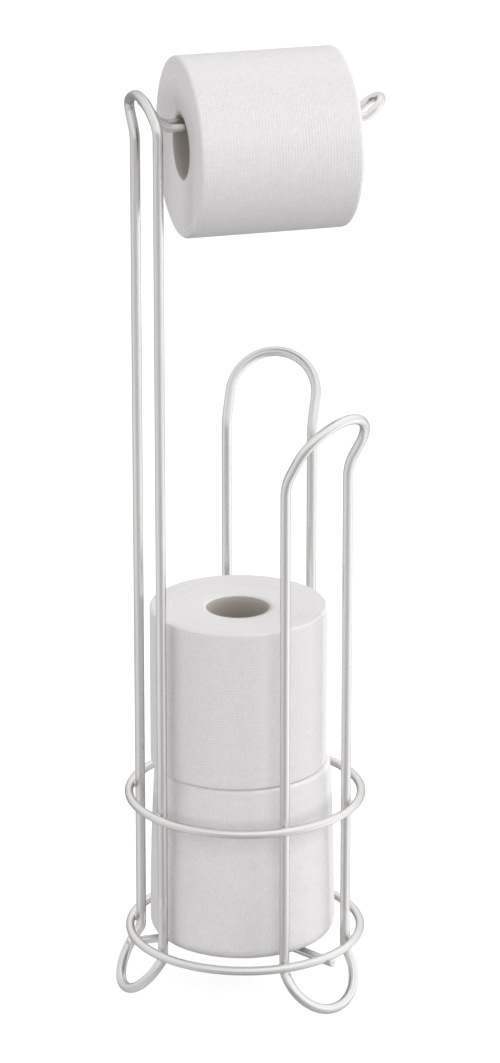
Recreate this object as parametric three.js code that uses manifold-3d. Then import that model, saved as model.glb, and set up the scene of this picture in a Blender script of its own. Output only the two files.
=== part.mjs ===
import * as THREE from 'three';
import { mergeVertices } from 'three/addons/utils/BufferGeometryUtils.js';
import Module from 'manifold-3d';

// Freestanding toilet paper holder. Three tall wire loops stand inside two welded rings, spokes
// under the lower ring carry two spare rolls, and a hairpin arm on the tallest loop holds the
// roll in use. Millimetres, +Z up. The floor is z = 0, and the origin lies on it under the middle
// of the whole part. +X is the way the arm reaches, away from the tall loop.

const degrees = THREE.MathUtils.degToRad;

// Wire diameters, and the gap kept where one piece meets another
const legWire = 6.35;
const ringWire = 5.5;
const spokeWire = 5.5;
const armWire = 5.5;
const seatGap = 0.3;

// Rings: heights to the wire's centre line, and the room between the widest spare roll and the legs
const rollClearance = 5.6;
const baseRingHeight = 36;
const ringSpacing = 94.3;

// Loops: the legs of one loop, and the foot that closes it at the floor
const legSpacing = 56.5;
const footBend = 8;
const footStraight = 3;
const footTilt = degrees(35.5);
const footFlat = 0.25;

// Head of the tall loop: its legs splay, mostly sideways, into a wide and low arch
const postLegTop = 561;
const postBend = 12;
const postStraight = 11.3;
const postTilt = degrees(23.8);
const postSplay = degrees(75.2);
const postArchRise = 17.5;

// Heads of the two short loops, which lean outwards to guide a roll in
const sideLegTop = 357;
const sideBend = 9;
const sideStraight = 17;
const sideTilt = degrees(31.2);

// Spokes under the lower ring: how far they stand out past it and sink into their welds
const spokeOverhang = 4;
const spokeSink = 2;

// Roll arm: a hairpin that hangs from the tall loop's crown and turns up at its far end
const armFall = 19;
const armDrop = degrees(57);
const armNeckBend = 14;
const armLevel = 119.3;
const armTipWidth = 18.6;
const armTipBend = 6.8;
const armTipStraight = 3.2;
const armTipTilt = degrees(39);

// Paper rolls and their cardboard cores. The spares lie a little towards the tall loop.
const coreBore = 39;
const coreWall = 0.8;
const paperDishWidth = 9;
const hangingDiameter = 113;
const hangingLength = 100.7;
const hangingEdge = 3.5;
const hangingDish = 2;
const hangingInset = 5;
const upperSpareDiameter = 113.6;
const upperSpareLength = 106.6;
const upperSpareEdge = 5;
const upperSpareDish = 3.2;
const upperSpareShiftShare = 0.51;
const lowerSpareDiameter = 120;
const lowerSpareLength = 117;
const lowerSpareEdge = 8;
const lowerSpareDish = 3.2;
const lowerSpareShiftShare = 0.34;

// Fineness of the curved surfaces
const wireSides = 12;
const bendStep = degrees(12);
const ringSteps = 60;
const rollSides = 48;
const strandSteps = 9;
const edgeSteps = 2;
const archShoulder = degrees(60);

const up = new THREE.Vector3(0, 0, 1);
const outward = new THREE.Vector3(1, 0, 0);
const sideways = new THREE.Vector3(0, 1, 0);

const wasm = await Module();
wasm.setup();

// A wire's centre line, laid down in the order in which the wire is bent.
class BentWire extends THREE.Curve {
  constructor(start, heading) {
    super();
    this.tip = start.clone();
    this.heading = heading.clone();
    this.stations = [];
    this.mark();
  }

  mark() {
    this.stations.push({ point: this.tip.clone(), tangent: this.heading.clone() });
    return this;
  }

  straight(length, steps = 1) {
    for (let step = 0; step < steps; step += 1) {
      this.tip.addScaledVector(this.heading, length / steps);
      this.mark();
    }
    return this;
  }

  // The axis that turns the wire towards a side.
  axisTowards(side) {
    return this.heading.clone().cross(side).normalize();
  }

  // Bends the wire by an angle round an axis, on a radius to its centre line.
  turn(radius, angle, axis) {
    const inward = axis.clone().cross(this.heading);
    const centre = this.tip.clone().addScaledVector(inward, radius);
    const steps = Math.ceil(angle / bendStep);
    for (let step = 0; step < steps; step += 1) {
      this.tip.sub(centre).applyAxisAngle(axis, angle / steps).add(centre);
      this.heading.applyAxisAngle(axis, angle / steps);
      this.mark();
    }
    return this;
  }

  bend(radius, angle, side) {
    return this.turn(radius, angle, this.axisTowards(side));
  }

  // An arch of given rise between two legs that lean apart by the flare: two shoulders and a crown,
  // on three centres. The shoulders end where the wire has turned to the shoulder's angle.
  arch(halfWidth, rise, side, flare) {
    const axis = this.axisTowards(side);
    const inward = Math.cos(flare) - Math.cos(archShoulder);
    const upward = Math.sin(flare) + Math.sin(archShoulder);
    const spread = inward - Math.sin(archShoulder + flare);
    const top = 1 - Math.sin(archShoulder);
    const shoulder = (halfWidth * top - rise * Math.cos(archShoulder)) / spread;
    const crown = (rise * inward - halfWidth * upward) / spread;
    this.turn(shoulder, archShoulder + flare, axis);
    this.turn(crown, Math.PI / 2 - archShoulder, axis);
    this.peak = this.tip.clone();
    this.turn(crown, Math.PI / 2 - archShoulder, axis);
    return this.turn(shoulder, archShoulder + flare, axis);
  }

  get steps() {
    return this.stations.length - 1;
  }

  getPointAt(share, target = new THREE.Vector3()) {
    return target.copy(this.stations[Math.round(share * this.steps)].point);
  }

  getTangentAt(share, target = new THREE.Vector3()) {
    return target.copy(this.stations[Math.round(share * this.steps)].tangent);
  }
}

// Merges a geometry's shared corners and turns its faces outwards.
function closedSurface(geometry) {
  const bare = geometry.clone();
  bare.deleteAttribute('normal');
  bare.deleteAttribute('uv');
  const merged = mergeVertices(bare);
  const corners = merged.index.array;
  const places = merged.attributes.position;
  const [a, b, c] = [new THREE.Vector3(), new THREE.Vector3(), new THREE.Vector3()];
  let volume = 0;
  for (let i = 0; i < corners.length; i += 3) {
    a.fromBufferAttribute(places, corners[i]);
    b.fromBufferAttribute(places, corners[i + 1]);
    c.fromBufferAttribute(places, corners[i + 2]);
    volume += a.dot(b.cross(c));
  }
  if (volume < 0) {
    for (let i = 0; i < corners.length; i += 3) {
      [corners[i], corners[i + 1]] = [corners[i + 1], corners[i]];
    }
  }
  return merged;
}

function toSolid(geometry) {
  const surface = closedSurface(geometry);
  return new wasm.Manifold(new wasm.Mesh({
    numProp: 3,
    vertProperties: Float32Array.from(surface.attributes.position.array),
    triVerts: Uint32Array.from(surface.index.array),
  }));
}

function toGeometry(solid) {
  const mesh = solid.getMesh();
  const geometry = new THREE.BufferGeometry();
  geometry.setAttribute('position', new THREE.BufferAttribute(mesh.vertProperties, 3));
  geometry.setIndex(new THREE.BufferAttribute(mesh.triVerts, 1));
  return geometry;
}

function closedWire(path, diameter) {
  return closedSurface(new THREE.TubeGeometry(path, path.steps, diameter / 2, wireSides, true));
}

function openWire(path, diameter) {
  const corners = Array.from({ length: wireSides }, (_, side) => {
    const angle = (2 * Math.PI * side) / wireSides;
    return new THREE.Vector2(Math.cos(angle), Math.sin(angle)).multiplyScalar(diameter / 2);
  });
  const settings = { steps: path.steps, extrudePath: path, bevelEnabled: false };
  return closedSurface(new THREE.ExtrudeGeometry(new THREE.Shape(corners), settings));
}

// The legs stand clear of the widest spare roll, and the rings lie round the legs.
const widestSpare = Math.max(upperSpareDiameter, lowerSpareDiameter);
const legRadius = widestSpare / 2 + rollClearance + legWire / 2;
const ringRadius = legRadius + (ringWire + legWire) / 2 + seatGap;

function ringGeometry(wire) {
  return closedSurface(new THREE.TorusGeometry(ringRadius, wire / 2, wireSides, ringSteps));
}

// Loops. Each is laid out with its legs on the +X side of the axis and turned to its own azimuth.
const halfLegSpacing = legSpacing / 2;
const legPlane = Math.sqrt(legRadius ** 2 - halfLegSpacing ** 2);
const footArc = footStraight + halfLegSpacing;
const footReach = legPlane + footBend * (1 - Math.cos(footTilt)) + footArc * Math.sin(footTilt);
const footDrop = footBend * Math.sin(footTilt) + footArc * Math.cos(footTilt);
const footHeight = legWire / 2 - footFlat;
const legBottom = footHeight + footDrop;

// At the head the legs tilt outwards, or partly sideways where they splay, before the arch.
function loopPath({ legTop, bend, straight, tilt, splay, rise }) {
  const legLength = legTop - legBottom;
  const start = new THREE.Vector3(legPlane, halfLegSpacing, legBottom);
  const away = sideways.clone().negate();
  const flare = Math.asin(Math.sin(tilt) * Math.sin(splay));
  const headReach = bend * (1 - Math.cos(tilt)) + straight * Math.sin(tilt);
  return new BentWire(start, up)
    .straight(legLength)
    .bend(bend, tilt, outward.clone().applyAxisAngle(up, splay))
    .straight(straight)
    .arch(halfLegSpacing + headReach * Math.sin(splay), rise, away, flare)
    .straight(straight)
    .bend(bend, tilt, outward.clone().applyAxisAngle(up, -splay))
    .straight(legLength)
    .bend(footBend, footTilt, outward)
    .straight(footStraight)
    .bend(halfLegSpacing, Math.PI, sideways)
    .straight(footStraight)
    .bend(footBend, footTilt, outward);
}

// The wire of a loop, with the flat under its foot that it stands on.
function loopGeometry(path) {
  const wide = 2 * (footReach + legWire);
  const floor = new THREE.BoxGeometry(wide, wide, legWire).translate(0, 0, -legWire / 2);
  return toGeometry(toSolid(closedWire(path, legWire)).subtract(toSolid(floor)));
}

const postPath = loopPath({
  legTop: postLegTop,
  bend: postBend,
  straight: postStraight,
  tilt: postTilt,
  splay: postSplay,
  rise: postArchRise,
});
const sidePath = loopPath({
  legTop: sideLegTop,
  bend: sideBend,
  straight: sideStraight,
  tilt: sideTilt,
  splay: 0,
  rise: halfLegSpacing,
});

// Spokes. Each lies under the lower ring, saddled to its wire, and stops short of the middle.
const spokeCount = 3;
const spokeHeight = baseRingHeight - (ringWire + spokeWire) / 2 + spokeSink;
const spokeEnd = ringRadius + spokeOverhang;
const spokeWedge = Math.PI / spokeCount;
const spokeStart = (seatGap / 2 + (spokeWire / 2) * Math.cos(spokeWedge)) / Math.sin(spokeWedge);

function spokeGeometry() {
  const length = spokeEnd - spokeStart;
  const rod = new THREE.CylinderGeometry(spokeWire / 2, spokeWire / 2, length, wireSides)
    .rotateZ(Math.PI / 2)
    .translate(spokeStart + length / 2, 0, spokeHeight);
  const saddle = ringGeometry(ringWire + 2 * seatGap).translate(0, 0, baseRingHeight);
  return toGeometry(toSolid(rod).subtract(toSolid(saddle)));
}

// Roll arm. Two strands leave the crown of the tall loop side by side, drop to the level of the
// bore, and open slowly to the width of the turned-up end that joins them.
const crown = new THREE.Vector3(-postPath.peak.x, 0, postPath.peak.z);
const armHeight = crown.z - armFall;
const neckFall = armFall - armNeckBend * (1 - Math.cos(armDrop));
const neckStraight = neckFall / Math.sin(armDrop);
const armLevelStart = crown.x + neckStraight * Math.cos(armDrop) + armNeckBend * Math.sin(armDrop);
const strandLength = neckStraight + armNeckBend * armDrop + armLevel;
const strandStart = (armWire + seatGap) / 2;
const strandEnd = armTipWidth / 2;
const strandOpeningShare = 3;

// How far a strand lies from the middle plane at a distance along it, and how fast it moves away.
function strandOffset(distance) {
  const left = 1 - Math.min(distance / strandLength, 1);
  return strandEnd - (strandEnd - strandStart) * left ** strandOpeningShare;
}

function strandSlope(distance) {
  const left = 1 - Math.min(distance / strandLength, 1);
  const opening = (strandEnd - strandStart) * strandOpeningShare;
  return (opening * left ** (strandOpeningShare - 1)) / strandLength;
}

function armPath() {
  const strand = new BentWire(crown, outward.clone().applyAxisAngle(sideways, armDrop))
    .straight(neckStraight)
    .bend(armNeckBend, armDrop, up)
    .straight(armLevel, strandSteps)
    .bend(armTipBend, armTipTilt, up)
    .straight(armTipStraight);
  let distance = 0;
  let last = crown;
  for (const station of strand.stations) {
    distance += station.point.distanceTo(last);
    last = station.point.clone();
    station.point.y = strandOffset(distance);
    station.tangent.addScaledVector(sideways, strandSlope(distance)).normalize();
  }
  const back = strand.stations.map(({ point, tangent }) => ({
    point: new THREE.Vector3(point.x, -point.y, point.z),
    tangent: new THREE.Vector3(-tangent.x, tangent.y, -tangent.z),
  }));
  strand.tip.y = strandEnd;
  strand.bend(strandEnd, Math.PI, sideways.clone().negate());
  strand.stations.push(...back.reverse().slice(1));
  return strand;
}

// The arm's ends are cut to the round of the crown that they are welded to.
function armGeometry() {
  const head = closedWire(postPath, legWire + 2 * seatGap).rotateZ(Math.PI);
  return toGeometry(toSolid(openWire(armPath(), armWire)).subtract(toSolid(head)));
}

// Rolls, turned about +Z with their lower face at z = 0.
const coreRadius = coreBore / 2;
const coreOuter = coreRadius + coreWall;
const paperBore = coreOuter + seatGap;

function turned(profile) {
  const points = profile.getPoints(edgeSteps);
  return closedSurface(new THREE.LatheGeometry(points, rollSides).rotateX(Math.PI / 2));
}

// Wound paper with soft outer edges, and ends that dip towards the core.
function paperGeometry({ diameter, length, edge, dish }) {
  const radius = diameter / 2;
  const flat = paperBore + paperDishWidth;
  const shoulder = radius - edge;
  const profile = new THREE.Path()
    .moveTo(paperBore, dish)
    .quadraticCurveTo((paperBore + flat) / 2, 0, flat, 0)
    .lineTo(shoulder, 0)
    .absarc(shoulder, edge, edge, -Math.PI / 2, 0)
    .lineTo(radius, length - edge)
    .absarc(shoulder, length - edge, edge, 0, Math.PI / 2)
    .lineTo(flat, length)
    .quadraticCurveTo((paperBore + flat) / 2, length, paperBore, length - dish)
    .closePath();
  return turned(profile);
}

function coreGeometry({ length, dish }) {
  const profile = new THREE.Path()
    .moveTo(coreRadius, dish)
    .lineTo(coreOuter, dish)
    .lineTo(coreOuter, length - dish)
    .lineTo(coreRadius, length - dish)
    .closePath();
  return turned(profile);
}

// Where the rolls lie. The one in use hangs by its bore on the widest part of the two strands in it.
const hangingStart = armLevelStart + hangingInset;
const hangingEnd = hangingStart + hangingLength;
const boreReach = coreRadius - armWire / 2 - seatGap;
const strandAtRollEnd = strandOffset(strandLength - armLevel + hangingEnd - armLevelStart);
const hangingHeight = armHeight - Math.sqrt(boreReach ** 2 - strandAtRollEnd ** 2);
const clearRadius = legRadius - legWire / 2;
const lowerSpareShift = lowerSpareShiftShare * (clearRadius - lowerSpareDiameter / 2);
const upperSpareShift = upperSpareShiftShare * (clearRadius - upperSpareDiameter / 2);
const lowerSpareHeight = spokeHeight + spokeWire / 2 + seatGap;
const upperSpareHeight = lowerSpareHeight + lowerSpareLength + seatGap;

const silver = new THREE.MeshStandardMaterial({ color: 0xc9c8ca, roughness: 0.38, metalness: 0.9 });
const tissue = new THREE.MeshStandardMaterial({ color: 0xeae5e8, roughness: 0.95, metalness: 0 });
const cardboard = new THREE.MeshStandardMaterial({ color: 0xb3a68c, roughness: 0.9, metalness: 0 });

function piece(name, geometry, material, azimuth = 0) {
  const mesh = new THREE.Mesh(geometry, material.clone());
  mesh.name = name;
  mesh.rotation.z = azimuth;
  return mesh;
}

function roll(name, sizes) {
  const pair = new THREE.Group();
  pair.add(piece(`${name}_paper`, paperGeometry(sizes), tissue));
  pair.add(piece(`${name}_core`, coreGeometry(sizes), cardboard));
  return pair;
}

const holder = new THREE.Group();

// The wire frame
const azimuths = { post: Math.PI, front: -Math.PI / spokeCount, rear: Math.PI / spokeCount };
for (const [side, azimuth] of Object.entries(azimuths)) {
  const path = side === 'post' ? postPath : sidePath;
  holder.add(piece(`${side}_loop`, loopGeometry(path), silver, azimuth));
  holder.add(piece(`${side}_spoke`, spokeGeometry(), silver, azimuth));
}
const baseRing = piece('base_ring', ringGeometry(ringWire), silver);
baseRing.position.z = baseRingHeight;
holder.add(baseRing);
const upperRing = piece('upper_ring', ringGeometry(ringWire), silver);
upperRing.position.z = baseRingHeight + ringSpacing;
holder.add(upperRing);
holder.add(piece('roll_arm', armGeometry(), silver));

// The rolls
const hangingRoll = roll('hanging', {
  diameter: hangingDiameter,
  length: hangingLength,
  edge: hangingEdge,
  dish: hangingDish,
});
hangingRoll.rotation.y = Math.PI / 2;
hangingRoll.position.set(hangingStart, 0, hangingHeight);
holder.add(hangingRoll);
const lowerSpare = roll('lower_spare', {
  diameter: lowerSpareDiameter,
  length: lowerSpareLength,
  edge: lowerSpareEdge,
  dish: lowerSpareDish,
});
lowerSpare.position.set(-lowerSpareShift, 0, lowerSpareHeight);
holder.add(lowerSpare);
const upperSpare = roll('upper_spare', {
  diameter: upperSpareDiameter,
  length: upperSpareLength,
  edge: upperSpareEdge,
  dish: upperSpareDish,
});
upperSpare.position.set(-upperSpareShift, 0, upperSpareHeight);
holder.add(upperSpare);

// The part's middle lies between the tall loop's foot and the end of the arm.
const tipReach = (armTipStraight + strandEnd) * Math.cos(armTipTilt) + armTipBend * Math.sin(armTipTilt);
const frontEdge = armLevelStart + armLevel + tipReach + armWire / 2;
const backEdge = -footReach - legWire / 2;
holder.position.x = -(frontEdge + backEdge) / 2;

export default holder;
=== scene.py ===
"""Looks of a freestanding toilet paper holder: satin silver wires, three paper rolls, their cores.

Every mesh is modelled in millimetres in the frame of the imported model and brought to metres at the
end. A wire is bent the way a wire bender bends it, and a roll is spun from its profile.
"""

import logging
from dataclasses import dataclass, field, replace
from enum import Enum
from math import asin, atan2, ceil, cos, hypot, pi, radians, sin, sqrt
from typing import Any, Iterable

import bmesh
import bpy
from mathutils import Matrix, Vector


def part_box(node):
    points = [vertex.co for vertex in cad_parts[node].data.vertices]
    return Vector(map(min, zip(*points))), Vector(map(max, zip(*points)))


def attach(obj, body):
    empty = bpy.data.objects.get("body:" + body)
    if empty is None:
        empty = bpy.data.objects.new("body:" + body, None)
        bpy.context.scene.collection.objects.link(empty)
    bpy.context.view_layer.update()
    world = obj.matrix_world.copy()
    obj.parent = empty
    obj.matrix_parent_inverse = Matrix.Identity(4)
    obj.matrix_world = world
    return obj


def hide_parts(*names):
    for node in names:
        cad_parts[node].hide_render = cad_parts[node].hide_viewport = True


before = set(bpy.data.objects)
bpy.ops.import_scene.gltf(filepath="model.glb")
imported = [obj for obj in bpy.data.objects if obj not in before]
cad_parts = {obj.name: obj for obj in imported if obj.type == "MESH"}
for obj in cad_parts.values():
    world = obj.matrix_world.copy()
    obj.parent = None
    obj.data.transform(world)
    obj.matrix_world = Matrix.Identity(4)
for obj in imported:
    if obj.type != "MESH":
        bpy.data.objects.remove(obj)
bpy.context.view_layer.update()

Material = bpy.types.Material
Mesh = bmesh.types.BMesh
Outputs = bpy.types.NodeOutputs
Profile = list[tuple[float, float]]
Socket = bpy.types.NodeSocket
Spots = list[tuple[Vector, Vector]]
Tree = bpy.types.NodeTree

MM = 0.001
UP = Vector((0.0, 0.0, 1.0))
OUTWARD = Vector((1.0, 0.0, 0.0))
SIDEWAYS = Vector((0.0, 1.0, 0.0))

logging.basicConfig(level=logging.INFO, format="%(message)s")
log = logging.getLogger("holder")


class Slot(Enum):
    """The record's material slots."""

    WIRE = "satin_wire"
    TISSUE = "tissue_paper"
    CARDBOARD = "cardboard"


class Side(Enum):
    """The three sides that a loop and a spoke stand on, with their turn round the holder's axis."""

    POST = pi
    FRONT = -pi / 3
    REAR = pi / 3


# Materials


def linear(colour: str) -> tuple[float, float, float, float]:
    """Turns an sRGB hex colour into linear RGBA.

    Args:
        colour: six hex digits, such as "c8c8ca".

    Returns:
        The linear red, green, blue and an alpha of one.
    """
    shares = [int(colour[i : i + 2], 16) / 255 for i in (0, 2, 4)]
    red, green, blue = (s / 12.92 if s <= 0.04045 else ((s + 0.055) / 1.055) ** 2.4 for s in shares)
    return red, green, blue, 1.0


def add_node(tree: Tree, kind: str, inputs: dict[Any, Any] | None = None, **settings: Any) -> Outputs:
    """Adds a shader node with its settings, values and links.

    Args:
        tree: the node tree that gets it.
        kind: the node's type, without the ShaderNode that it starts with.
        inputs: socket name or number to a value, or to the output socket that feeds it.
        settings: the node's own properties.

    Returns:
        The new node's outputs.
    """
    node = tree.nodes.new("ShaderNode" + kind)
    for name, value in settings.items():
        setattr(node, name, value)
    for name, value in (inputs or {}).items():
        if isinstance(value, Socket):
            tree.links.new(value, node.inputs[name])
        else:
            node.inputs[name].default_value = value
    return node.outputs


def new_material(name: str) -> tuple[Material, Tree]:
    """Makes an empty node-based material.

    Args:
        name: the finish's name.

    Returns:
        The material and its node tree.
    """
    material = bpy.data.materials.new(name)
    material.use_nodes = True
    material.node_tree.nodes.clear()
    return material, material.node_tree


@dataclass(frozen=True)
class Finish:
    """What the finishes share: a name, and a light and a dark tone that a pattern mixes."""

    name: str
    colour: str
    shade: str

    def tones(self, tree: Tree, share: Socket) -> Socket:
        """Mixes the two tones.

        Args:
            tree: the node tree that gets the mix.
            share: how much of it is the light tone.

        Returns:
            The colour.
        """
        tones = {"Factor": share, 6: linear(self.shade), 7: linear(self.colour)}
        return add_node(tree, "Mix", tones, data_type="RGBA")[2]


@dataclass(frozen=True)
class SatinSilver(Finish):
    """Round steel wire, drawn, bent, welded and barrel-brushed, then plated with a satin silver.

    The plate is a metal with a soft, even blur. The die leaves long bands of lighter and darker
    metal along the wire, with fine lines on them, and the plate over them breaks the highlight
    into a narrow streak with a little waviness. Its edges, seen at a graze, are a little darker.
    """

    name: str = "satin_silver_plate"
    colour: str = "ebeae8"
    shade: str = "d7d6d4"
    rim: str = "c2c1c0"
    roughness: float = 0.3
    smoother: float = 0.04
    rougher: float = 0.05
    band_width: float = 1.9
    band_length: float = 260.0
    # Drawing lines are about 0.1 mm apart, too fine to show: they are drawn 0.5 mm apart.
    line_spacing: float = 0.5
    line_length: float = 30.0
    line_depth: float = 0.1
    line_relief: float = 0.12
    # The tone is the bands and this share of the lines, which together stay in this range.
    line_share: float = 0.4
    tone_range: tuple[float, float] = (0.5, 0.85)
    cloud_size: float = 6.0
    cloud_range: tuple[float, float] = (0.3, 0.7)

    def material(self) -> Material:
        """Makes the finish.

        Returns:
            A material that follows the wire by its grain attribute.
        """
        made, tree = new_material(self.name)
        grain = add_node(tree, "Attribute", attribute_name="grain")["Vector"]
        lines = self.streaks(tree, grain, self.line_spacing, self.line_length, 2.0)
        bands = self.streaks(tree, grain, self.band_width, self.band_length, 0.0)
        marks = add_node(tree, "Math", {0: lines, 1: self.line_share, 2: bands}, operation="MULTIPLY_ADD")
        low, high = self.tone_range
        tone = add_node(tree, "MapRange", {"Value": marks[0], "From Min": low, "From Max": high})
        clouds = add_node(tree, "TexNoise", {"Vector": grain, "Scale": 1 / self.cloud_size, "Detail": 3.0})
        low, high = self.cloud_range
        blur = add_node(
            tree,
            "MapRange",
            {
                "Value": clouds["Fac"],
                "From Min": low,
                "From Max": high,
                "To Min": self.roughness - self.smoother,
                "To Max": self.roughness + self.rougher,
            },
        )
        relief = add_node(
            tree, "Bump", {"Height": lines, "Strength": self.line_relief, "Distance": self.line_depth * MM}
        )
        shader = add_node(
            tree,
            "BsdfPrincipled",
            {
                "Base Color": self.tones(tree, tone["Result"]),
                "Metallic": 1.0,
                "Roughness": blur["Result"],
                "Specular Tint": linear(self.rim),
                "Normal": relief["Normal"],
            },
        )
        add_node(tree, "OutputMaterial", {"Surface": shader["BSDF"]})
        return made

    def streaks(self, tree: Tree, grain: Socket, width: float, length: float, detail: float) -> Socket:
        """Draws streaks along the wire.

        Args:
            tree: the node tree that gets them.
            grain: the place on the wire.
            width: how wide a streak is, in millimetres.
            length: how long it is.
            detail: how many finer streaks lie on it.

        Returns:
            Their tone.
        """
        drawn = add_node(tree, "Mapping", {"Vector": grain, "Scale": (1 / width, 1 / width, 1 / length)})
        return add_node(
            tree, "TexNoise", {"Vector": drawn["Vector"], "Scale": 1.0, "Detail": detail}
        )["Fac"]


@dataclass(frozen=True)
class TissuePaper(Finish):
    """Soft white tissue, creped, embossed in fine ribs round the roll and wound in layers.

    It scatters all its light. The ribs give the side a faint pleat, the crepe a fine crinkle, and
    the cut ends show the layers as soft rings that wander a little.
    """

    name: str = "embossed_tissue"
    colour: str = "f3f1f1"
    shade: str = "e8e5e6"
    roughness: float = 0.95
    gloss: float = 0.1
    relief: float = 0.6
    rib_pitch: float = 1.9
    rib_depth: float = 0.13
    rib_wander: float = 4.0
    # The ribs come and go with swells about 14 mm across and patches about 3 mm across.
    swells_per_mm: float = 0.07
    patches_per_mm: float = 0.3
    rib_fade: tuple[float, float] = (0.75, 1.2)
    rib_most: float = 1.1
    # Crepe ridges are about 0.2 mm apart, too fine to show: they are drawn 0.9 mm apart.
    crepe_pitch: float = 0.9
    crepe_depth: float = 0.12
    crepe_stretch: float = 0.3
    # A ply is about 0.1 mm thick, too fine to show: the rings are drawn 0.9 mm apart.
    layer_pitch: float = 0.9
    layer_depth: float = 0.3
    tint_range: tuple[float, float] = (0.7, 1.2)

    def material(self) -> Material:
        """Makes the finish.

        Returns:
            A material that follows the roll by its wind attribute.
        """
        made, tree = new_material(self.name)
        wind = add_node(tree, "Attribute", attribute_name="wind")["Vector"]
        parts = add_node(tree, "SeparateXYZ", {"Vector": wind})
        ribs = self.ribs(tree, wind, parts["Z"])
        crepe = self.crepe(tree, wind)
        layers = self.layers(tree, parts)
        height: Any = 0.0
        for form, depth in ((crepe, self.crepe_depth), (ribs, self.rib_depth), (layers, self.layer_depth)):
            height = add_node(tree, "Math", {0: form, 1: depth, 2: height}, operation="MULTIPLY_ADD")[0]
        relief = add_node(tree, "Bump", {"Height": height, "Strength": self.relief, "Distance": MM})
        speckle = add_node(tree, "Math", {0: layers, 1: crepe}, operation="ADD")
        low, high = self.tint_range
        fibre = add_node(tree, "MapRange", {"Value": speckle[0], "From Min": low, "From Max": high})
        shader = add_node(
            tree,
            "BsdfPrincipled",
            {
                "Base Color": self.tones(tree, fibre["Result"]),
                "Roughness": self.roughness,
                "Specular IOR Level": self.gloss,
                "Normal": relief["Normal"],
            },
        )
        add_node(tree, "OutputMaterial", {"Surface": shader["BSDF"]})
        return made

    def ribs(self, tree: Tree, wind: Socket, along: Socket) -> Socket:
        """Draws the ribs round the roll, which wander and come and go.

        Args:
            tree: the node tree that gets them.
            wind: the place on the roll.
            along: how far along the roll it is.

        Returns:
            Their height, as a share of their depth.
        """
        swells = add_node(tree, "TexNoise", {"Vector": wind, "Scale": self.swells_per_mm, "Detail": 2.0})
        patches = add_node(tree, "TexNoise", {"Vector": wind, "Scale": self.patches_per_mm, "Detail": 3.0})
        wander = add_node(tree, "Math", {0: patches["Fac"], 1: self.rib_wander}, operation="MULTIPLY")
        phase = add_node(
            tree, "Math", {0: along, 1: 2 * pi / self.rib_pitch, 2: wander[0]}, operation="MULTIPLY_ADD"
        )
        rib = add_node(tree, "Math", {0: phase[0]}, operation="SINE")
        unevenness = add_node(tree, "Math", {0: swells["Fac"], 1: patches["Fac"]}, operation="ADD")
        low, high = self.rib_fade
        share = add_node(
            tree,
            "MapRange",
            {"Value": unevenness[0], "From Min": low, "From Max": high, "To Max": self.rib_most},
        )
        return add_node(tree, "Math", {0: rib[0], 1: share["Result"]}, operation="MULTIPLY")[0]

    def crepe(self, tree: Tree, wind: Socket) -> Socket:
        """Draws the crinkle of the crepe, which runs along the roll.

        Args:
            tree: the node tree that gets it.
            wind: the place on the roll.

        Returns:
            Its height, as a share of its depth.
        """
        across = 1 / self.crepe_pitch
        place = add_node(
            tree,
            "Mapping",
            {"Vector": wind, "Scale": (across, across, self.crepe_stretch / self.crepe_pitch)},
        )
        return add_node(tree, "TexNoise", {"Vector": place["Vector"], "Scale": 1.0, "Detail": 3.0})["Fac"]

    def layers(self, tree: Tree, parts: Outputs) -> Socket:
        """Draws the wound layers as rings that change slowly round the roll.

        Args:
            tree: the node tree that gets them.
            parts: the place on the roll, as three numbers.

        Returns:
            Their height, as a share of their depth.
        """
        flat = add_node(tree, "CombineXYZ", {"X": parts["X"], "Y": parts["Y"]})["Vector"]
        radius = add_node(tree, "VectorMath", {0: flat}, operation="LENGTH")
        facing = add_node(tree, "VectorMath", {0: flat}, operation="NORMALIZE")
        bearing = add_node(tree, "SeparateXYZ", {"Vector": facing["Vector"]})
        count = add_node(tree, "Math", {0: radius["Value"], 1: 1 / self.layer_pitch}, operation="MULTIPLY")
        place = add_node(tree, "CombineXYZ", {"X": count[0], "Y": bearing["X"], "Z": bearing["Y"]})
        return add_node(
            tree, "TexNoise", {"Vector": place["Vector"], "Scale": 1.0, "Detail": 4.0, "Roughness": 0.65}
        )["Fac"]


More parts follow.
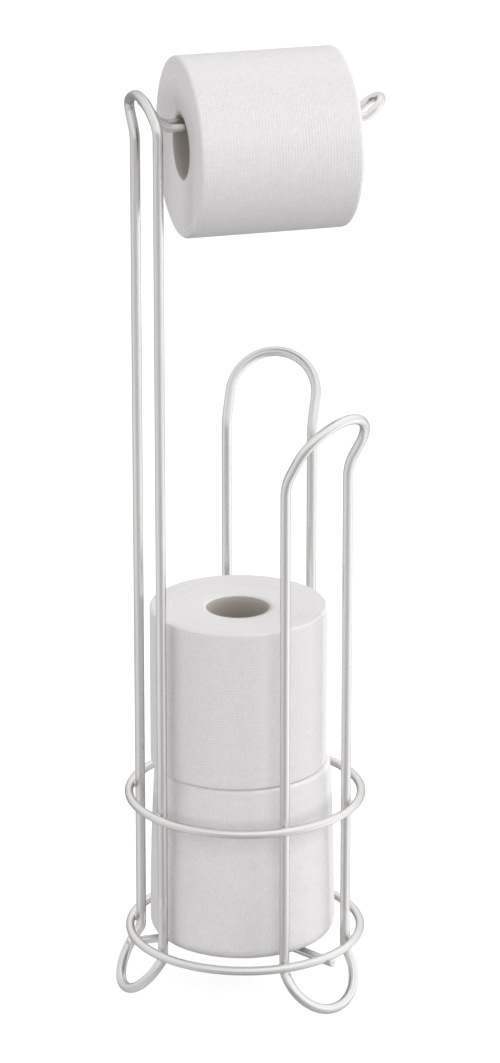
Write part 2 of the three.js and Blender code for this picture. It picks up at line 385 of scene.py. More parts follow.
@dataclass(frozen=True)
class CoreBoard(Finish):
    """Grey-brown cardboard, wound from two strips of recycled board on a slant.

    It is matt, with specks of fibre, and each strip's edge leaves a fine line that climbs round
    the tube.
    """

    name: str = "spiral_wound_cardboard"
    colour: str = "c6c0b8"
    shade: str = "aaa49a"
    seam_colour: str = "8f887d"
    roughness: float = 0.88
    gloss: float = 0.25
    relief: float = 0.3
    relief_depth: float = 0.3
    # The strip is about 70 mm wide, so its seam climbs 90 mm in a turn of this tube.
    seam_rise: float = 90.0
    seam_width: float = 0.8
    seam_sink: float = 0.4
    fibre_size: float = 1.2

    def material(self) -> Material:
        """Makes the finish.

        Returns:
            A material that follows the tube by its wind attribute.
        """
        made, tree = new_material(self.name)
        wind = add_node(tree, "Attribute", attribute_name="wind")["Vector"]
        seam = self.seam(tree, wind)
        fibres = add_node(
            tree,
            "TexNoise",
            {"Vector": wind, "Scale": 1 / self.fibre_size, "Detail": 5.0, "Roughness": 0.7},
        )["Fac"]
        board = self.tones(tree, fibres)
        tint = add_node(
            tree, "Mix", {"Factor": seam, 6: board, 7: linear(self.seam_colour)}, data_type="RGBA"
        )
        sunk = add_node(tree, "Math", {0: seam, 1: -self.seam_sink, 2: fibres}, operation="MULTIPLY_ADD")
        relief = add_node(
            tree, "Bump", {"Height": sunk[0], "Strength": self.relief, "Distance": self.relief_depth * MM}
        )
        shader = add_node(
            tree,
            "BsdfPrincipled",
            {
                "Base Color": tint[2],
                "Roughness": self.roughness,
                "Specular IOR Level": self.gloss,
                "Normal": relief["Normal"],
            },
        )
        add_node(tree, "OutputMaterial", {"Surface": shader["BSDF"]})
        return made

    def seam(self, tree: Tree, wind: Socket) -> Socket:
        """Draws the strips' edges, which climb round the tube.

        Args:
            tree: the node tree that gets them.
            wind: the place on the tube.

        Returns:
            One on the seam and zero beside it.
        """
        parts = add_node(tree, "SeparateXYZ", {"Vector": wind})
        bearing = add_node(tree, "Math", {0: parts["Y"], 1: parts["X"]}, operation="ARCTAN2")
        turns = add_node(tree, "Math", {0: bearing[0], 1: 1 / (2 * pi)}, operation="MULTIPLY")
        climb = add_node(
            tree, "Math", {0: parts["Z"], 1: 1 / self.seam_rise, 2: turns[0]}, operation="MULTIPLY_ADD"
        )
        beside = add_node(tree, "Math", {0: climb[0], 1: 0.5}, operation="PINGPONG")
        return add_node(
            tree,
            "MapRange",
            {
                "Value": beside[0],
                "From Max": self.seam_width / self.seam_rise,
                "To Min": 1.0,
                "To Max": 0.0,
            },
        )["Result"]


# Pieces


def add_object(mesh: Mesh, name: str, material: Material) -> bpy.types.Object:
    """Adds an object to the scene.

    Args:
        mesh: its shape, which is used up.
        name: its name.
        material: its finish.

    Returns:
        The object, at the origin.
    """
    data = bpy.data.meshes.new(name)
    mesh.to_mesh(data)
    mesh.free()
    data.materials.append(material)
    made = bpy.data.objects.new(name, data)
    bpy.context.scene.collection.objects.link(made)
    return made


def hand_over(
    mesh: Mesh, name: str, material: Material, body: str, nodes: Iterable[str], place: Matrix
) -> None:
    """Makes a finished piece of a mesh in millimetres and lets it ride on its body.

    Args:
        mesh: the shape, which is used up.
        name: the piece's name.
        material: its finish.
        body: the body it moves with.
        nodes: the nodes it stands for.
        place: where the mesh's own origin stands and how it is turned, in millimetres.
    """
    bmesh.ops.transform(mesh, matrix=Matrix.Scale(MM, 4) @ place, verts=mesh.verts)
    bmesh.ops.recalc_face_normals(mesh, faces=mesh.faces)
    for face in mesh.faces:
        face.smooth = True
    piece = add_object(mesh, name, material)
    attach(piece, body)
    if nodes:
        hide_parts(*nodes)
    log.info("%s: %d faces", name, len(piece.data.polygons))


class WireBender:
    """Bends a round wire: a ring of edges that is pushed on straight or swung round a bend."""

    # Edges round the wire, the largest turn between two rings, and where an arch's crown starts
    SIDES = 28
    STEP = radians(3)
    SHOULDER = radians(60)

    def __init__(self, diameter: float, start: Vector, heading: Vector) -> None:
        """Clamps the wire's first ring.

        Args:
            diameter: the wire's diameter.
            start: where its centre line starts.
            heading: the way it leaves.
        """
        self.mesh = bmesh.new()
        self.grain = self.mesh.verts.layers.float_vector.new("grain")
        self.tip = start.copy()
        self.peak = start.copy()
        self.heading = heading.normalized()
        self.travelled = 0.0
        made = bmesh.ops.create_circle(self.mesh, segments=self.SIDES, radius=diameter / 2)
        for vert in made["verts"]:
            vert[self.grain] = vert.co
        facing = self.heading.to_track_quat("Z", "Y").to_matrix().to_4x4()
        bmesh.ops.transform(self.mesh, matrix=Matrix.Translation(start) @ facing, verts=made["verts"])
        self.ring = list(self.mesh.edges)

    def push(self, move: Matrix, length: float) -> None:
        """Draws the ring on by one move.

        Args:
            move: the matrix that takes the last ring to the new one.
            length: the wire that this takes.
        """
        made = bmesh.ops.extrude_edge_only(self.mesh, edges=self.ring)["geom"]
        verts = [part for part in made if isinstance(part, bmesh.types.BMVert)]
        self.ring = [part for part in made if isinstance(part, bmesh.types.BMEdge) and part.is_boundary]
        bmesh.ops.transform(self.mesh, matrix=move, verts=verts)
        self.travelled += length
        for vert in verts:
            vert[self.grain] = (*vert[self.grain][:2], self.travelled)

    def straight(self, length: float, steps: int = 1) -> "WireBender":
        """Pushes the wire on.

        Args:
            length: how far.
            steps: the number of rings.

        Returns:
            The bender itself.
        """
        for _ in range(steps):
            self.push(Matrix.Translation(self.heading * (length / steps)), length / steps)
            self.tip += self.heading * (length / steps)
        return self

    def axis_towards(self, side: Vector) -> Vector:
        """Returns the axis that turns the wire towards a side."""
        return self.heading.cross(side).normalized()

    def turn(self, radius: float, angle: float, axis: Vector) -> "WireBender":
        """Bends the wire on a radius to its centre line.

        Args:
            radius: the bend's radius.
            angle: how far it turns.
            axis: the axis that it turns about.

        Returns:
            The bender itself.
        """
        centre = self.tip + axis.cross(self.heading) * radius
        steps = max(2, ceil(angle / self.STEP))
        swing = Matrix.Rotation(angle / steps, 4, axis)
        move = Matrix.Translation(centre) @ swing @ Matrix.Translation(-centre)
        for _ in range(steps):
            self.push(move, radius * angle / steps)
            self.tip = move @ self.tip
            self.heading = (swing @ self.heading).normalized()
        return self

    def bend(self, radius: float, angle: float, side: Vector) -> "WireBender":
        """Bends the wire towards a side and returns the bender itself."""
        return self.turn(radius, angle, self.axis_towards(side))

    def arch(self, half_width: float, rise: float, side: Vector, flare: float) -> "WireBender":
        """Bends an arch on three centres between two legs that lean apart.

        Args:
            half_width: half the distance between the legs where it starts.
            rise: its height.
            side: the side that the other leg lies on.
            flare: how far each leg leans away from the other.

        Returns:
            The bender itself.
        """
        axis = self.axis_towards(side)
        start = self.SHOULDER
        inward = cos(flare) - cos(start)
        upward = sin(flare) + sin(start)
        spread = inward - sin(start + flare)
        top = 1 - sin(start)
        shoulder = (half_width * top - rise * cos(start)) / spread
        crown = (rise * inward - half_width * upward) / spread
        self.turn(shoulder, start + flare, axis)
        self.turn(crown, pi / 2 - start, axis)
        self.peak = self.tip.copy()
        self.turn(crown, pi / 2 - start, axis)
        return self.turn(shoulder, start + flare, axis)

    def follow(self, stations: Spots) -> "WireBender":
        """Draws the wire through given places.

        Args:
            stations: each place and the way the wire heads there.

        Returns:
            The bender itself.
        """
        for place, heading in stations:
            swing = self.heading.rotation_difference(heading).to_matrix().to_4x4()
            move = Matrix.Translation(place) @ swing @ Matrix.Translation(-self.tip)
            self.push(move, (place - self.tip).length)
            self.tip = place.copy()
            self.heading = heading.normalized()
        return self

    def close(self) -> Mesh:
        """Joins the last ring to the first and returns the mesh."""
        bmesh.ops.remove_doubles(self.mesh, verts=self.mesh.verts, dist=0.01)
        return self.mesh

    def cap(self) -> Mesh:
        """Closes both ends and returns the mesh."""
        bmesh.ops.holes_fill(self.mesh, edges=[edge for edge in self.mesh.edges if edge.is_boundary])
        return self.mesh


@dataclass
class WireStock:
    """Diameters of the wires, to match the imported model, in millimetres."""

    leg: float = 6.35
    ring: float = 5.5
    spoke: float = 5.5
    arm: float = 5.5
    gap: float = 0.3


@dataclass
class Loop:
    """One closed loop: two legs, a head that arches over and a foot that stands on the floor."""

    side: Side
    leg_top: float
    bend: float
    straight: float
    tilt: float
    splay: float
    rise: float
    leg_radius: float
    leg_spacing: float = 56.5
    foot_bend: float = 8.0
    foot_straight: float = 3.0
    foot_tilt: float = radians(35.5)
    foot_flat: float = 0.25
    leg_rings: int = 12
    neck_rings: int = 2
    peak: Vector = field(default_factory=Vector, init=False)

    @property
    def half(self) -> float:
        """Half the distance between the legs."""
        return self.leg_spacing / 2

    @property
    def leg_plane(self) -> float:
        """How far the legs' plane stands from the holder's axis."""
        return sqrt(self.leg_radius**2 - self.half**2)

    def leg_bottom(self, wire: float) -> float:
        """Returns the height at which the foot starts, for a wire of given diameter."""
        arc = self.foot_straight + self.half
        drop = self.foot_bend * sin(self.foot_tilt) + arc * cos(self.foot_tilt)
        return wire / 2 - self.foot_flat + drop

    def build(self, wire: float) -> Mesh:
        """Bends the loop, with its legs on the +X side of the axis.

        Args:
            wire: the wire's diameter.

        Returns:
            The closed wire, ground flat where it stands.
        """
        bottom = self.leg_bottom(wire)
        length = self.leg_top - bottom
        start = Vector((self.leg_plane, self.half, bottom))
        flare = asin(sin(self.tilt) * sin(self.splay))
        head = self.bend * (1 - cos(self.tilt)) + self.straight * sin(self.tilt)
        left = Matrix.Rotation(self.splay, 3, UP) @ OUTWARD
        right = Matrix.Rotation(-self.splay, 3, UP) @ OUTWARD
        bender = WireBender(wire, start, UP)
        bender.straight(length, self.leg_rings).bend(self.bend, self.tilt, left)
        bender.straight(self.straight, self.neck_rings)
        bender.arch(self.half + head * sin(self.splay), self.rise, -SIDEWAYS, flare)
        self.peak = bender.peak
        bender.straight(self.straight, self.neck_rings).bend(self.bend, self.tilt, right)
        bender.straight(length, self.leg_rings).bend(self.foot_bend, self.foot_tilt, OUTWARD)
        bender.straight(self.foot_straight).bend(self.half, pi, SIDEWAYS)
        bender.straight(self.foot_straight)
        bender.bend(self.foot_bend, self.foot_tilt, OUTWARD)
        mesh = bender.close()
        cut = bmesh.ops.bisect_plane(
            mesh,
            geom=[*mesh.verts, *mesh.edges, *mesh.faces],
            plane_co=(0, 0, 0),
            plane_no=(0, 0, -1),
            clear_outer=True,
        )
        rim = [part for part in cut["geom_cut"] if isinstance(part, bmesh.types.BMEdge)]
        bmesh.ops.holes_fill(mesh, edges=rim)
        return mesh


@dataclass(frozen=True)
class Bead:
    """The bead that a weld squeezes out between two wires, in millimetres."""

    spread: float
    thickness: float
    sides: tuple[int, int] = (24, 14)

    def add(self, mesh: Mesh, place: Vector, facing: Vector) -> None:
        """Adds the bead to a mesh.

        Args:
            mesh: the mesh that gets it.
            place: its middle.
            facing: the way from one wire to the other.
        """
        sizes = Matrix.Diagonal((self.spread, self.spread, self.thickness, 1))
        turn = facing.to_track_quat("Z", "Y").to_matrix().to_4x4()
        bmesh.ops.create_uvsphere(
            mesh,
            u_segments=self.sides[0],
            v_segments=self.sides[1],
            radius=1.0,
            matrix=Matrix.Translation(place) @ turn @ sizes,
        )


@dataclass
class WireWork:
    """What the frame and the arm share: wire stock, finish, and the axis that they stand round."""

    stock: WireStock
    silver: Material
    axis: Vector

    def place(self, mesh: Mesh, name: str, nodes: Iterable[str] = (), turn: float = 0.0) -> None:
        """Dresses a piece and puts it where it stands.

        Args:
            mesh: the piece, modelled round its own origin.
            name: its name.
            nodes: the nodes it stands for.
            turn: its turn about the axis.
        """
        where = Matrix.Translation(self.axis) @ Matrix.Rotation(turn, 4, "Z")
        hand_over(mesh, name, self.silver, "frame", nodes, where)

    def welds(self, bead: Bead, spots: Spots) -> Mesh:
        """Lays a row of beads.

        Args:
            bead: their size.
            spots: the middle of each, and the way from one wire to the other.

        Returns:
            The beads.
        """
        mesh = bmesh.new()
        mesh.verts.layers.float_vector.new("grain")
        for spot, facing in spots:
            bead.add(mesh, spot, facing)
        return mesh


@dataclass
class WireFrame(WireWork):
    """The welded frame: three loops, two rings, three spokes and their weld beads."""

    ring_radius: float = 75.0
    ring_heights: tuple[float, float] = (36.0, 130.3)
    spoke_overhang: float = 4.0
    spoke_sink: float = 2.0
    spoke_round: float = 0.6
    spoke_rings: int = 8
    leg_bead: Bead = Bead(2.5, 1.5)
    spoke_bead_shift: float = 2.2
    spoke_bead_rise: float = 0.6
    hub: Bead = Bead(4.2, 2.5, (32, 16))

    @property
    def leg_radius(self) -> float:
        """How far a leg's centre line stands from the holder's axis."""
        return self.ring_radius - (self.stock.ring + self.stock.leg) / 2 - self.stock.gap

    @property
    def spoke_height(self) -> float:
        """The height of the spokes' centre line."""
        touching = (self.stock.ring + self.stock.spoke) / 2
        return self.ring_heights[0] - touching + self.spoke_sink

    def loops(self) -> dict[str, Loop]:
        """Sets the sizes of the three loops, the tall one and the two short ones.

        Returns:
            Each loop by its node's name.
        """
        front = Loop(
            side=Side.FRONT,
            leg_top=351.14,
            bend=30.0,
            straight=11.14,
            tilt=radians(31.2),
            splay=0.0,
            rise=28.25,
            leg_radius=self.leg_radius,
        )
        post = replace(
            front,
            side=Side.POST,
            leg_top=558.05,
            bend=26.0,
            straight=8.35,
            tilt=radians(23.8),
            splay=radians(75.2),
            rise=17.5,
        )
        return {"post_loop": post, "front_loop": front, "rear_loop": replace(front, side=Side.REAR)}

    def build(self) -> Vector:
        """Builds and dresses every piece of the frame but the arm.

        Returns:
            The middle of the tall loop's head, on the loop's own side.
        """
        loops = self.loops()
        for name, loop in loops.items():
            self.place(loop.build(self.stock.leg), name + "_wire", [name], loop.side.value)
        for name, height in zip(("base_ring", "upper_ring"), self.ring_heights):
            self.place(self.ring(height), name + "_wire", [name])
            spots = self.leg_spots(height, loops["post_loop"].half)
            self.place(self.welds(self.leg_bead, spots), name + "_welds")
        for side in Side:
            name = side.name.lower() + "_spoke"
            self.place(self.spoke(), name + "_rod", [name], side.value)
        self.place(self.spoke_beads(), "spoke_welds")
        return loops["post_loop"].peak

    def ring(self, height: float) -> Mesh:
        """Returns a ring at a height, bent round and joined end to end."""
        start = Vector((0, self.ring_radius, height))
        bender = WireBender(self.stock.ring, start, -OUTWARD)
        return bender.turn(self.ring_radius, 2 * pi, UP).close()

    def leg_spots(self, height: float, half: float) -> Spots:
        """Finds where a ring touches the six legs inside it.

        Args:
            height: the ring's height.
            half: half the distance between a loop's legs.

        Returns:
            The middle of each touch, and the way outwards there.
        """
        swing = asin(half / self.leg_radius)
        reach = self.leg_radius + (self.stock.leg + self.stock.gap) / 2
        spots = []
        for side in Side:
            for hand in (-1, 1):
                angle = side.value + hand * swing
                facing = Vector((cos(angle), sin(angle), 0))
                spots.append((facing * reach + UP * height, facing))
        return spots

    def spoke(self) -> Mesh:
        """Pushes out a spoke along +X, with its cut ends rounded off.

        Returns:
            The spoke, which starts where it meets the other two.
        """
        wedge = pi / 3
        half = self.stock.spoke / 2
        start = (self.stock.gap / 2 + half * cos(wedge)) / sin(wedge)
        end = self.ring_radius + self.spoke_overhang
        place = Vector((start, 0, self.spoke_height))
        bender = WireBender(self.stock.spoke, place, OUTWARD)
        mesh = bender.straight(end - start, self.spoke_rings).cap()
        rims = [edge for edge in mesh.edges if any(len(face.verts) > 4 for face in edge.link_faces)]
        bmesh.ops.bevel(
            mesh, geom=rims, offset=self.spoke_round, affect="EDGES", segments=4, profile=0.5, material=-1
        )
        return mesh

    def spoke_beads(self) -> Mesh:
        """Lays the beads under the lower ring and the one where the spokes meet.

        Returns:
            The beads.
        """
        height = self.ring_heights[0] - self.stock.ring / 2 + self.spoke_bead_rise
        spots = []
        for side in Side:
            facing = Vector((cos(side.value), sin(side.value), 0))
            for hand in (-1, 1):
                reach = self.ring_radius + hand * self.spoke_bead_shift
                spots.append((facing * reach + UP * height, UP))
        mesh = self.welds(self.leg_bead, spots)
        self.hub.add(mesh, UP * self.spoke_height, UP)
        return mesh


@dataclass
class RollArm(WireWork):
    """The hairpin arm: two strands from the tall loop's crown to the turned-up end."""

    crown: Vector
    fall: float = 19.0
    drop: float = radians(57)
    neck_bend: float = 14.0
    level: float = 119.3
    tip_width: float = 18.6
    tip_bend: float = 6.8
    tip_straight: float = 3.2
    tip_tilt: float = radians(39)
    opening_share: float = 3.0
    pitch: float = 1.5
    bead: Bead = Bead(3.5, 1.7, (28, 14))

    @property
    def neck_straight(self) -> float:
        """The straight stretch between the crown and the neck's bend."""
        fall = self.fall - self.neck_bend * (1 - cos(self.drop))
        return fall / sin(self.drop)

    @property
    def strand_length(self) -> float:
        """A strand's length from the crown to the end of its level stretch."""
        return self.neck_straight + self.neck_bend * self.drop + self.level

    @property
    def start_offset(self) -> float:
        """How far each strand lies from the middle plane at the crown."""
        return (self.stock.arm + self.stock.gap) / 2

    def offset(self, distance: float) -> float:
        """Returns how far a strand lies from the middle plane at a distance along it."""
        left = 1 - min(distance / self.strand_length, 1)
        end = self.tip_width / 2
        return end - (end - self.start_offset) * left**self.opening_share

    def profile(self) -> tuple[list[Vector], Vector]:
        """Draws a strand's centre line in the middle plane, at an even pitch.

        Returns:
            The places on it, and the way it heads at its far end.
        """
        heading = Vector((cos(self.drop), 0, -sin(self.drop)))
        tip = Vector((-self.crown.x, 0, self.crown.z))
        places = [tip.copy()]
        for length, radius, angle in (
            (self.neck_straight, None, 0.0),
            (self.neck_bend * self.drop, self.neck_bend, self.drop),
            (self.level, None, 0.0),
            (self.tip_bend * self.tip_tilt, self.tip_bend, self.tip_tilt),
            (self.tip_straight, None, 0.0),
        ):
            pitch = self.pitch if radius is None else self.pitch / 3
            steps = max(1, round(length / pitch))
            for _ in range(steps):
                if radius is None:
                    tip = tip + heading * (length / steps)
                else:
                    swing = Matrix.Rotation(-angle / steps, 3, SIDEWAYS)
                    centre = tip + SIDEWAYS.cross(heading) * -radius
                    tip = centre + swing @ (tip - centre)
                    heading = swing @ heading
                places.append(tip.copy())
        return places, heading

    def build(self) -> None:
        """Builds and dresses the arm and the beads that hold it to the crown."""
        middle, tip_heading = self.profile()
        strand, travelled = [], 0.0
        for index, place in enumerate(middle):
            travelled += (place - middle[index - 1]).length if index else 0.0
            strand.append(Vector((place.x, self.offset(travelled), place.z)))
        headings = [
            (strand[min(i + 1, len(strand) - 1)] - strand[max(i - 1, 0)]).normalized()
            for i in range(len(strand))
        ]
        headings[-1] = tip_heading
        bender = WireBender(self.stock.arm, strand[0], headings[0])
        bender.follow(list(zip(strand, headings))[1:])
        bender.bend(self.tip_width / 2, pi, -SIDEWAYS)
        back = [(Vector((p.x, -p.y, p.z)), Vector((-h.x, h.y, -h.z))) for p, h in zip(strand, headings)]
        bender.follow(back[::-1][1:])
        self.place(bender.cap(), "roll_arm_wire", ["roll_arm"])
        start, heading = strand[0], headings[0]
        spots = [
            (Vector((start.x, start.y * hand, start.z)) + heading * (self.stock.leg / 2), heading)
            for hand in (-1, 1)
        ]
        self.place(self.welds(self.bead, spots), "roll_arm_welds")


@dataclass
class PaperRoll:
    """A roll of tissue wound on a cardboard core, modelled upright with its lower end at zero."""

    name: str
    body: str
    tissue: Material
    board: Material
    place: Matrix
    diameter: float
    length: float
    edge: float
    top_edge: float
    dish: float
    tail_turn: float
    taper: float = 0.0
    dish_width: float = 28.0
    bore: float = 39.0
    wall: float = 0.8
    gap: float = 0.3
    ply: float = 0.35
    saw_edge: float = 0.25
    sides: int = 192
    core_sides: int = 128
    core_cuts: int = 24
    side_rings: int = 20
    dish_rings: int = 9
    edge_rings: int = 12

    def build(self) -> None:
        """Builds and dresses the paper and its core."""
        for mesh, finish, slot, piece, node in (
            (self.paper(), self.tissue, Slot.TISSUE, "_tissue", "_paper"),
            (self.core(), self.board, Slot.CARDBOARD, "_tube", "_core"),
        ):
            wind = mesh.verts.layers.float_vector.new("wind")
            for vert in mesh.verts:
                vert[wind] = vert.co
            nodes = [self.name + node]
            hand_over(mesh, self.name + piece, finish, self.body, nodes, self.place)

    def spun(self, points: Profile, sides: int) -> Mesh:
        """Spins a closed profile round the roll's axis.

        Args:
            points: distance from the axis and height of each corner.
            sides: the number of sides of the round shape.

        Returns:
            The closed shape.
        """
        mesh = bmesh.new()
        verts = [mesh.verts.new((radius, 0, height)) for radius, height in points]
        edges = [mesh.edges.new(pair) for pair in zip(verts, [*verts[1:], verts[0]])]
        bmesh.ops.spin(
            mesh,
            geom=[*verts, *edges],
            cent=(0, 0, 0),
            axis=(0, 0, 1),
            angle=2 * pi,
            steps=sides,
            use_merge=True,
        )
        return mesh

    def paper(self) -> Mesh:
        """Winds the paper: soft edges, dished ends, and a last turn that laps the first.

        Returns:
            The wound paper.
        """
        radius = self.diameter / 2
        lower = self.end(radius, self.edge)
        top = self.end(radius - self.taper, self.top_edge)
        upper = [(reach, self.length - height) for reach, height in reversed(top)]
        tall = self.length - self.edge - self.top_edge
        rings = self.side_rings
        side = [
            (radius - self.taper * (i / rings) ** 2, self.edge + tall * i / rings) for i in range(1, rings)
        ]
        mesh = self.spun([*lower, *side, *upper], self.sides)
        self.lap(mesh, radius)
        return mesh

    def end(self, radius: float, edge: float) -> Profile:
        """Draws one end's profile, from the bore outwards: dish, flat and rounded edge.

        Args:
            radius: the roll's radius at that end.
            edge: how far the edge is rounded.

        Returns:
            Distance from the axis and height of each corner.
        """
        inner = self.bore / 2 + self.wall + self.gap
        flat = inner + self.dish_width
        shoulder = radius - edge
        points: Profile = []
        for i in range(self.dish_rings):
            share = i / self.dish_rings
            points.append((inner + (flat - inner) * share, self.dish * (1 - share) ** 2))
        for i in range(self.edge_rings):
            points.append((flat + (shoulder - flat) * i / self.edge_rings, 0.0))
        for i in range(self.edge_rings + 1):
            angle = pi / 2 * i / self.edge_rings
            points.append((shoulder + edge * sin(angle), edge * (1 - cos(angle))))
        return points

    def lap(self, mesh: Mesh, radius: float) -> None:
        """Winds the outer skin in by one ply over a turn, so that its end shows as a step.

        Args:
            mesh: the spun paper.
            radius: its outer radius.
        """
        for vert in mesh.verts:
            reach = hypot(vert.co.x, vert.co.y)
            depth = (reach - radius + self.edge + self.taper) / self.edge
            if depth <= 0:
                continue
            angle = (atan2(vert.co.y, vert.co.x) - self.tail_turn) % (2 * pi)
            share = 1 - angle / (2 * pi)
            pull = 1 - self.ply * share * min(depth, 1) / reach
            vert.co.x *= pull
            vert.co.y *= pull

    def core(self) -> Mesh:
        """Rolls the cardboard tube, with edges a little softened by the saw.

        Returns:
            The tube, with rings along it that carry its place on the roll.
        """
        inner = self.bore / 2
        outer = inner + self.wall
        low, high = self.dish, self.length - self.dish
        soft = self.saw_edge
        points = [
            (inner, low + soft),
            (inner + soft, low),
            (outer - soft, low),
            (outer, low + soft),
            (outer, high - soft),
            (outer - soft, high),
            (inner + soft, high),
            (inner, high - soft),
        ]
        mesh = self.spun(points, self.core_sides)
        long_edges = [
            edge for edge in mesh.edges if abs(edge.verts[0].co.z - edge.verts[1].co.z) > self.length / 2
        ]
        bmesh.ops.subdivide_edges(mesh, edges=long_edges, cuts=self.core_cuts, use_grid_fill=True)
        return mesh


# Studio


@dataclass(frozen=True)
class Lamp:
    """A square soft lamp. The wires don't see it, so that it leaves no bright square on them."""

    name: str
    place: tuple[float, float, float]
    size: float
    watts: float

    def hang(self, aim: Vector) -> None:
        """Hangs the lamp.

        Args:
            aim: what it faces, in metres.
        """
        data = bpy.data.lights.new(self.name, "AREA")
        data.shape = "SQUARE"
        data.size = self.size
        data.energy = self.watts
        lamp = bpy.data.objects.new(self.name, data)
        lamp.location = self.place
        facing = aim - Vector(self.place)
        lamp.rotation_euler = facing.to_track_quat("-Z", "Y").to_euler()
        lamp.visible_glossy = False
        bpy.context.scene.collection.objects.link(lamp)


@dataclass
class Studio:
    """A white sweep with soft lamps, the key from the right."""

    lamps: tuple[Lamp, ...] = (
        Lamp("key_lamp", (2.5, -0.3, 1.0), 3.0, 56.0),
        Lamp("front_lamp", (0.6, -2.8, 1.2), 2.4, 19.0),
        Lamp("side_lamp", (-2.4, -0.6, 1.2), 2.4, 14.0),
    )
    aim_height: float = 0.3
    fill: float = 0.66
    floor_reach: float = 20.0
    floor_drop: float = 0.0001
    floor_colour: str = "aaaaab"
    floor_glow: float = 0.79
    # In the lamps' place, the wires see painted light: the floor glows for them alone in a painted pool of
    # light on each side and a dimmer front, and the sky they see is a little brighter on the key's side.
    sky_mean: float = 1.08
    sky_key: float = 0.13
    pool_bearing: float = radians(-5)
    pool_mean: float = 0.42
    pool_sides: float = 0.28
    pool_key: float = 0.2

    def build(self) -> None:
        """Lays the floor, sets the world and hangs the lamps."""
        self.lay_floor()
        self.set_world()
        for lamp in self.lamps:
            lamp.hang(Vector((0, 0, self.aim_height)))

    def lay_floor(self) -> None:
        """Lays a pale floor that the camera sees as white where no shadow lies on it."""
        mesh = bmesh.new()
        bmesh.ops.create_grid(mesh, x_segments=2, y_segments=2, size=self.floor_reach)
        made, tree = new_material("matt_white_floor")
        seen, mirrored = self.rays(tree)
        shown = add_node(tree, "Math", {0: seen, 1: self.floor_glow}, operation="MULTIPLY")
        place = add_node(tree, "TexCoord")["Object"]
        # Painted pools of light: a glow on the floor that only mirrored rays see, standing in for the
        # lamps in the wires' reflections.
        pools = self.light_round(tree, place, self.pool_mean, {1: self.pool_key, 2: self.pool_sides})
        glow = add_node(tree, "Math", {0: mirrored, 1: pools, 2: shown[0]}, operation="MULTIPLY_ADD")
        shader = add_node(
            tree,
            "BsdfPrincipled",
            {
                "Base Color": linear(self.floor_colour),
                "Roughness": 0.9,
                "Specular IOR Level": 0.1,
                "Emission Strength": glow[0],
            },
        )
        add_node(tree, "OutputMaterial", {"Surface": shader["BSDF"]})
        floor = add_object(mesh, "floor", made)
        floor.location.z = -self.floor_drop

    def set_world(self) -> None:
        """Sets a soft grey fill that the camera sees as white and the wires as nearly white."""
        world = bpy.data.worlds.new("studio")
        world.use_nodes = True
        bpy.context.scene.world = world
        tree = world.node_tree
        tree.nodes.clear()
        seen, mirrored = self.rays(tree)
        plain = add_node(tree, "MapRange", {"Value": seen, "To Min": self.fill, "To Max": 1.0})
        place = add_node(tree, "TexCoord")["Generated"]
        sky = self.light_round(tree, place, self.sky_mean, {1: self.sky_key})
        strength = add_node(tree, "Mix", {0: mirrored, 2: plain["Result"], 3: sky}, data_type="FLOAT")
        background = add_node(tree, "Background", {"Color": (1.0, 1.0, 1.0, 1.0), "Strength": strength[0]})
        add_node(tree, "OutputWorld", {"Surface": background["Background"]})

    def rays(self, tree: Tree) -> tuple[Socket, Socket]:
        """Tells what looks at the floor or the world.

        Args:
            tree: the node tree that asks.

        Returns:
            One for the camera, also through glass, and one for a mirrored view.
        """
        paths = add_node(tree, "LightPath")
        seen = add_node(
            tree, "Math", {0: paths["Is Camera Ray"], 1: paths["Is Transmission Ray"]}, operation="MAXIMUM"
        )
        return seen[0], paths["Is Glossy Ray"]

    def light_round(self, tree: Tree, place: Socket, mean: float, waves: dict[int, float]) -> Socket:
        """Draws a light that changes with its bearing from the holder.

        Args:
            tree: the node tree that gets it.
            place: the coordinates, with the holder at their origin.
            mean: the mean strength.
            waves: the size of each wave, by how often it comes round.

        Returns:
            The strength.
        """
        parts = add_node(tree, "SeparateXYZ", {"Vector": place})
        bearing = add_node(tree, "Math", {0: parts["Y"], 1: parts["X"]}, operation="ARCTAN2")
        level: Any = mean
        for count, share in waves.items():
            phase = add_node(
                tree,
                "Math",
                {0: bearing[0], 1: count, 2: -count * self.pool_bearing},
                operation="MULTIPLY_ADD",
            )
            wave = add_node(tree, "Math", {0: phase[0]}, operation="COSINE")
            level = add_node(tree, "Math", {0: wave[0], 1: share, 2: level}, operation="MULTIPLY_ADD")[0]
        return level


@dataclass
class Viewpoint:
    """The photographed view: a pitched camera, fitted to the wires and the rolls."""

    azimuth: float = radians(-15.71)
    elevation: float = radians(19.23)
    distance: float = 3.0
    focal_pixels: float = 4731.2
    image_height: float = 1063.0
    sensor: float = 36.0
    sideways: float = 0.00317
    height: float = 0.30693

    def build(self, axis: Vector) -> None:
        """Makes the camera and the scene's colour settings.

        Args:
            axis: where the holder's axis stands, in millimetres.
        """
        data = bpy.data.cameras.new("camera")
        data.sensor_width = self.sensor
        data.lens = self.focal_pixels / self.image_height * self.sensor
        camera = bpy.data.objects.new("camera", data)
        right = Vector((cos(self.azimuth), sin(self.azimuth), 0))
        level = cos(self.elevation)
        back = Vector((sin(self.azimuth) * level, -cos(self.azimuth) * level, sin(self.elevation)))
        target = right * self.sideways + Vector((axis.x * MM, 0, self.height))
        camera.location = target + back * self.distance
        camera.rotation_euler = (-back).to_track_quat("-Z", "Y").to_euler()
        bpy.context.scene.collection.objects.link(camera)
        bpy.context.scene.camera = camera
        bpy.context.scene.view_settings.view_transform = "Standard"


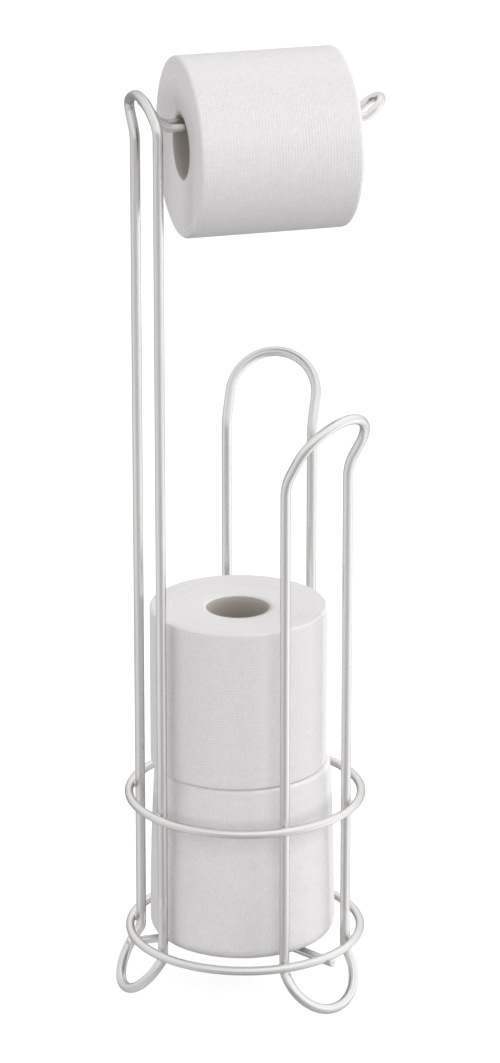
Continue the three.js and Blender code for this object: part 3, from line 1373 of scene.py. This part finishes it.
@dataclass
class Holder:
    """The whole holder with its three rolls."""

    axis: Vector
    stock: WireStock
    loose_paper: float = 1.1

    def build(self) -> None:
        """Builds the frame, the arm and the rolls in order."""
        silver = SatinSilver().material()
        tissue = TissuePaper().material()
        pressed = TissuePaper(name="pressed_tissue", rib_depth=0.07).material()
        board = CoreBoard().material()
        crown = WireFrame(self.stock, silver, self.axis).build()
        RollArm(self.stock, silver, self.axis, crown).build()
        for roll in self.rolls(tissue, pressed, board):
            roll.build()

    def rolls(self, tissue: Material, pressed: Material, board: Material) -> list[PaperRoll]:
        """Makes the three rolls, each where its node lies.

        Args:
            tissue: the finish of the roll in use.
            pressed: the spare rolls' finish, with flatter ribs.
            board: the cores' finish.

        Returns:
            The roll in use and the two spares.
        """
        low, high = (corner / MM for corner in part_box("hanging_paper"))
        low.x -= self.loose_paper
        high.x += self.loose_paper
        end = Vector((low.x, (low.y + high.y) / 2, (low.z + high.z) / 2))
        hanging = PaperRoll(
            name="hanging",
            body="hanging_roll",
            tissue=tissue,
            board=board,
            place=Matrix.Translation(end) @ Matrix.Rotation(pi / 2, 4, "Y"),
            diameter=high.z - low.z,
            length=high.x - low.x,
            edge=1.8,
            top_edge=3.5,
            dish=1.6,
            tail_turn=radians(100),
        )
        made = [hanging]
        for name, edge, top_edge, taper, settled in (
            ("upper_spare", 2.2, 1.5, 0.0, 1.2), ("lower_spare", 8.0, 2.5, 3.2, 0.0)
        ):
            low, high = (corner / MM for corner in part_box(name + "_paper"))
            end = Vector(((low.x + high.x) / 2, (low.y + high.y) / 2, low.z))
            spare = replace(
                hanging,
                name=name,
                body=name,
                tissue=pressed,
                place=Matrix.Translation(end),
                diameter=high.y - low.y,
                length=high.z - low.z - settled,
                edge=edge,
                top_edge=top_edge,
                dish=1.8,
                tail_turn=radians(75),
                taper=taper,
            )
            made.append(spare)
        return made


def main() -> None:
    """Builds the holder, the studio and the view."""
    low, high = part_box("base_ring")
    axis = Vector(((low.x + high.x) / 2 / MM, 0, 0))
    Holder(axis=axis, stock=WireStock()).build()
    Studio().build()
    Viewpoint().build(axis)


if __name__ == "__main__":
    main()
